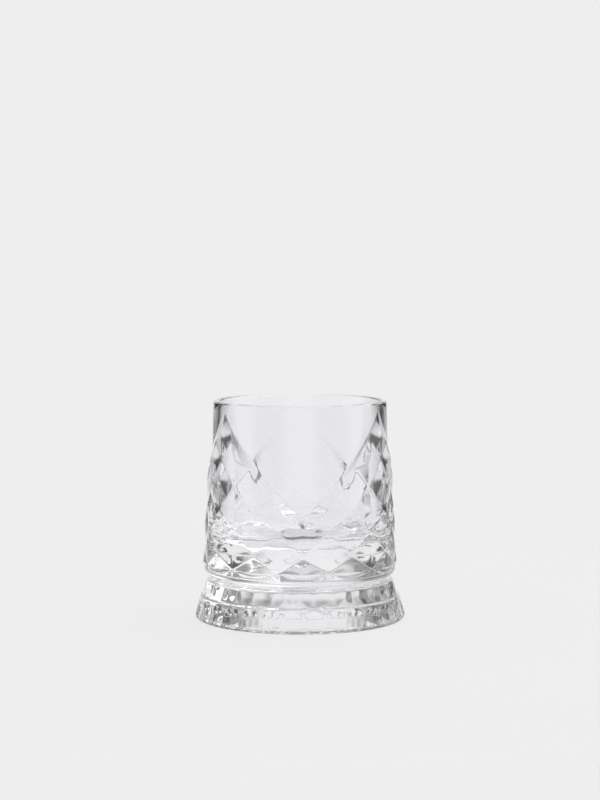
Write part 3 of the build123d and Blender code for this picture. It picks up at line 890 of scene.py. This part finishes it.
class TUMBLER_OT_swivel(bpy.types.Operator):
    """Finish the steel and adhesive of the hidden swivel"""

    bl_idname = "tumbler.swivel"
    bl_label = "Swivel Finishes"
    bl_options = {"REGISTER", "UNDO"}

    def execute(self, context):
        s = context.scene.tumbler_finish
        stainless = steel("Turned Stainless", s.steel, 0.22, 0.35)
        ground = steel("Ground Bearing Steel", (0.62, 0.62, 0.63), 0.12, 0.15)
        polished = steel("Polished Ball Steel", (0.78, 0.78, 0.79), 0.04, 0.02)
        blued = steel("Blued Spring Steel", s.spring, 0.3, 0.25)
        film = cured_adhesive(s)
        finishes = {
            "spindle": stainless, "bearing_cup": stainless, "bearing_cage": stainless,
            "bearing_shield_upper": stainless, "bearing_shield_lower": stainless,
            "bearing_inner_ring": ground, "bearing_outer_ring": ground,
            "bearing_balls": polished, "retaining_clip": blued,
            "bond_bowl": film, "bond_foot": film,
        }
        for name, material in finishes.items():
            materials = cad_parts[name].data.materials
            if not materials:
                materials.append(material)
            for n in range(len(materials)):
                materials[n] = material
        return {"FINISHED"}


# ---------------------------------------------------------------- stage


def ramp(tree, value, low, high, stops):
    """A value looked up between stops (position, level)."""
    spread = calc(tree, "DIVIDE", calc(tree, "SUBTRACT", value, low), high - low)
    made = node(tree, "ShaderNodeValToRGB", {"Fac": spread})
    elements = made.color_ramp.elements
    while len(elements) < len(stops):
        elements.new(0.5)
    for element, (position, level) in zip(elements, stops):
        element.position = (position - low) / (high - low)
    for element, (position, level) in zip(elements, stops):
        element.color = (level, level, level, 1)
    return made.outputs["Color"]


def studio_world(s):
    """Pale screens on four sides with gaps between them, darker behind the tumbler than
    behind the camera, under a soft ceiling."""
    world = bpy.data.worlds.new("Pale Studio")
    bpy.context.scene.world = world
    world.use_nodes = True
    tree = world.node_tree
    tree.nodes.clear()
    look = node(tree, "ShaderNodeTexCoord").outputs["Generated"]
    parts = node(tree, "ShaderNodeSeparateXYZ", {"Vector": look})
    turn = calc(tree, "MULTIPLY", calc(tree, "ARCTAN2", parts.outputs["X"], parts.outputs["Y"]),
                180 / math.pi)
    rise = calc(tree, "MULTIPLY", calc(tree, "ARCSINE", parts.outputs["Z"]), 180 / math.pi)
    aside = calc(tree, "PINGPONG", turn, 45.0)
    screens = ramp(tree, aside, 0, 45, [(0, 1), (15, 1), (29, 0), (45, 0)])
    ceiling = [(26, 0.3), (34, 0.74), (50, 0.74), (60, 0.5), (90, 0.6)]
    pale = ramp(tree, rise, -10, 90, [(-10, 0.88), (0, 0.88), (10, 0.86), (20, 0.42), *ceiling])
    gaps = ramp(tree, rise, -10, 90, [
        (-10, 0.07), (4, 0.07), (8, 0.3), (13, 0.3), (18, 0.07), (22, 0.07), *ceiling])
    behind = ramp(tree, rise, -10, 90, [(-10, 0.55), (20, 0.35), *ceiling])
    facing = ramp(tree, parts.outputs["Y"], -1, 1, [(-1, 1), (-0.35, 1), (0.0, 0), (1, 0)])
    gap = node(tree, "ShaderNodeMix", data_type="FLOAT")
    for index, value in ((0, facing), (2, gaps), (3, behind)):
        tree.links.new(value, gap.inputs[index])
    level = node(tree, "ShaderNodeMix", data_type="FLOAT")
    tree.links.new(screens, level.inputs[0])
    tree.links.new(gap.outputs[0], level.inputs[2])
    tree.links.new(pale, level.inputs[3])
    seen = node(tree, "ShaderNodeLightPath").outputs["Is Camera Ray"]
    shown = node(tree, "ShaderNodeMix", data_type="FLOAT")
    tree.links.new(seen, shown.inputs[0])
    tree.links.new(level.outputs[0], shown.inputs[2])
    shown.inputs[3].default_value = s.backdrop
    back = node(tree, "ShaderNodeBackground", {"Color": (1, 1, 1, 1)})
    tree.links.new(shown.outputs[0], back.inputs["Strength"])
    out = tree.nodes.new("ShaderNodeOutputWorld")
    tree.links.new(back.outputs["Background"], out.inputs["Surface"])


def floor_disc():
    """A pale table that fades into the surroundings far from the tumbler."""
    rings, steps = [0.0, 0.06, 0.12, 0.25, 0.5, 0.9, 1.4], 96
    points, faces = [(0, 0, 0)], []
    for radius in rings[1:]:
        points += [(radius * math.cos(2 * math.pi * n / steps),
                    radius * math.sin(2 * math.pi * n / steps), 0) for n in range(steps)]
    for n in range(steps):
        faces.append((0, 1 + n, 1 + (n + 1) % steps))
        for ring in range(len(rings) - 2):
            a, b = 1 + ring * steps + n, 1 + ring * steps + (n + 1) % steps
            faces.append((a, a + steps, b + steps, b))
    mesh = bpy.data.meshes.new("floor")
    mesh.from_pydata(points, [], faces)
    mesh.shade_smooth()
    floor = bpy.data.objects.new("floor", mesh)
    bpy.context.scene.collection.objects.link(floor)
    material, tree, out = plain_material("Pale Table")
    spot = node(tree, "ShaderNodeTexCoord").outputs["Object"]
    grain = node(tree, "ShaderNodeTexNoise", {"Vector": spot, "Scale": 900.0, "Detail": 2.0})
    bump = node(tree, "ShaderNodeBump", {
        "Strength": 0.05, "Distance": 0.0001, "Height": grain.outputs["Fac"]})
    table = node(tree, "ShaderNodeBsdfPrincipled", {
        "Base Color": (0.94, 0.94, 0.94, 1), "Roughness": 0.75, "Specular IOR Level": 0.1,
        "Normal": bump.outputs["Normal"]})
    away = vector_calc(tree, "LENGTH", spot)
    fade = node(tree, "ShaderNodeMapRange", {
        "Value": away, "From Min": 0.14, "From Max": 0.34, "To Min": 0.0, "To Max": 1.0},
        interpolation_type="SMOOTHSTEP")
    gone = node(tree, "ShaderNodeBsdfTransparent")
    mixed = node(tree, "ShaderNodeMixShader", {
        0: fade.outputs["Result"], 1: table.outputs["BSDF"], 2: gone.outputs["BSDF"]})
    tree.links.new(mixed.outputs["Shader"], out.inputs["Surface"])
    mesh.materials.append(material)


def soft_sun(name, turn, rise, spread, strength):
    """A broad, far light from a compass turn (0 is behind the tumbler) and height in degrees."""
    light = bpy.data.lights.new(name, "SUN")
    light.angle = math.radians(spread)
    light.energy = strength
    made = bpy.data.objects.new(name, light)
    bpy.context.scene.collection.objects.link(made)
    turn, rise = math.radians(turn), math.radians(rise)
    source = Vector((math.sin(turn) * math.cos(rise), math.cos(turn) * math.cos(rise),
                     math.sin(rise)))
    made.rotation_euler = (-source).to_track_quat("-Z", "Y").to_euler()
    return made


class TUMBLER_OT_stage(bpy.types.Operator):
    """Set up the camera, the pale floor and the soft light"""

    bl_idname = "tumbler.stage"
    bl_label = "Studio"
    bl_options = {"REGISTER", "UNDO"}

    def execute(self, context):
        s = context.scene.tumbler_stage
        scene = context.scene
        data = bpy.data.cameras.new("camera")
        data.lens, data.sensor_width, data.clip_start = s.lens, 36.0, 0.01
        camera = bpy.data.objects.new("camera", data)
        scene.collection.objects.link(camera)
        camera.location = (-s.distance * math.sin(s.swing), -s.distance * math.cos(s.swing),
                           s.height)
        camera.rotation_euler = (math.pi / 2 - s.pitch, 0, -s.swing)
        scene.camera = camera
        studio_world(s)
        floor_disc()
        soft_sun("key", 60.0, 50.0, 85.0, 1.38)
        scene.view_settings.view_transform = "Standard"
        scene.cycles.use_denoising = True
        scene.cycles.max_bounces = 32
        scene.cycles.transmission_bounces = 28
        scene.cycles.glossy_bounces = 16
        scene.cycles.transparent_max_bounces = 32
        scene.cycles.caustics_reflective = False
        scene.cycles.caustics_refractive = False
        return {"FINISHED"}


# ---------------------------------------------------------------- panel and registration


class TUMBLER_PT_panel(bpy.types.Panel):
    """Buttons and sizes in the 3D view's sidebar"""

    bl_label = "Spinning Tumbler"
    bl_idname = "TUMBLER_PT_panel"
    bl_space_type = "VIEW_3D"
    bl_region_type = "UI"
    bl_category = "Tumbler"

    def draw(self, context):
        layout = self.layout
        for operator in OPERATORS:
            layout.operator(operator.bl_idname)
        for name, group in SETTINGS.items():
            box = layout.box()
            box.label(text=group.__doc__)
            for prop in group.__annotations__:
                box.prop(getattr(context.scene, name), prop)


OPERATORS = (TUMBLER_OT_stage, TUMBLER_OT_bowl, TUMBLER_OT_foot, TUMBLER_OT_swivel)
CLASSES = (*SETTINGS.values(), *OPERATORS, TUMBLER_PT_panel)


def register():
    for each in CLASSES:
        bpy.utils.register_class(each)
    for name, group in SETTINGS.items():
        setattr(bpy.types.Scene, name, bpy.props.PointerProperty(type=group))


def unregister():
    for name in SETTINGS:
        delattr(bpy.types.Scene, name)
    for each in reversed(CLASSES):
        bpy.utils.unregister_class(each)


def main():
    register()
    bpy.ops.tumbler.stage()
    bpy.ops.tumbler.bowl()
    bpy.ops.tumbler.foot()
    bpy.ops.tumbler.swivel()


if __name__ == "__main__":
    main()
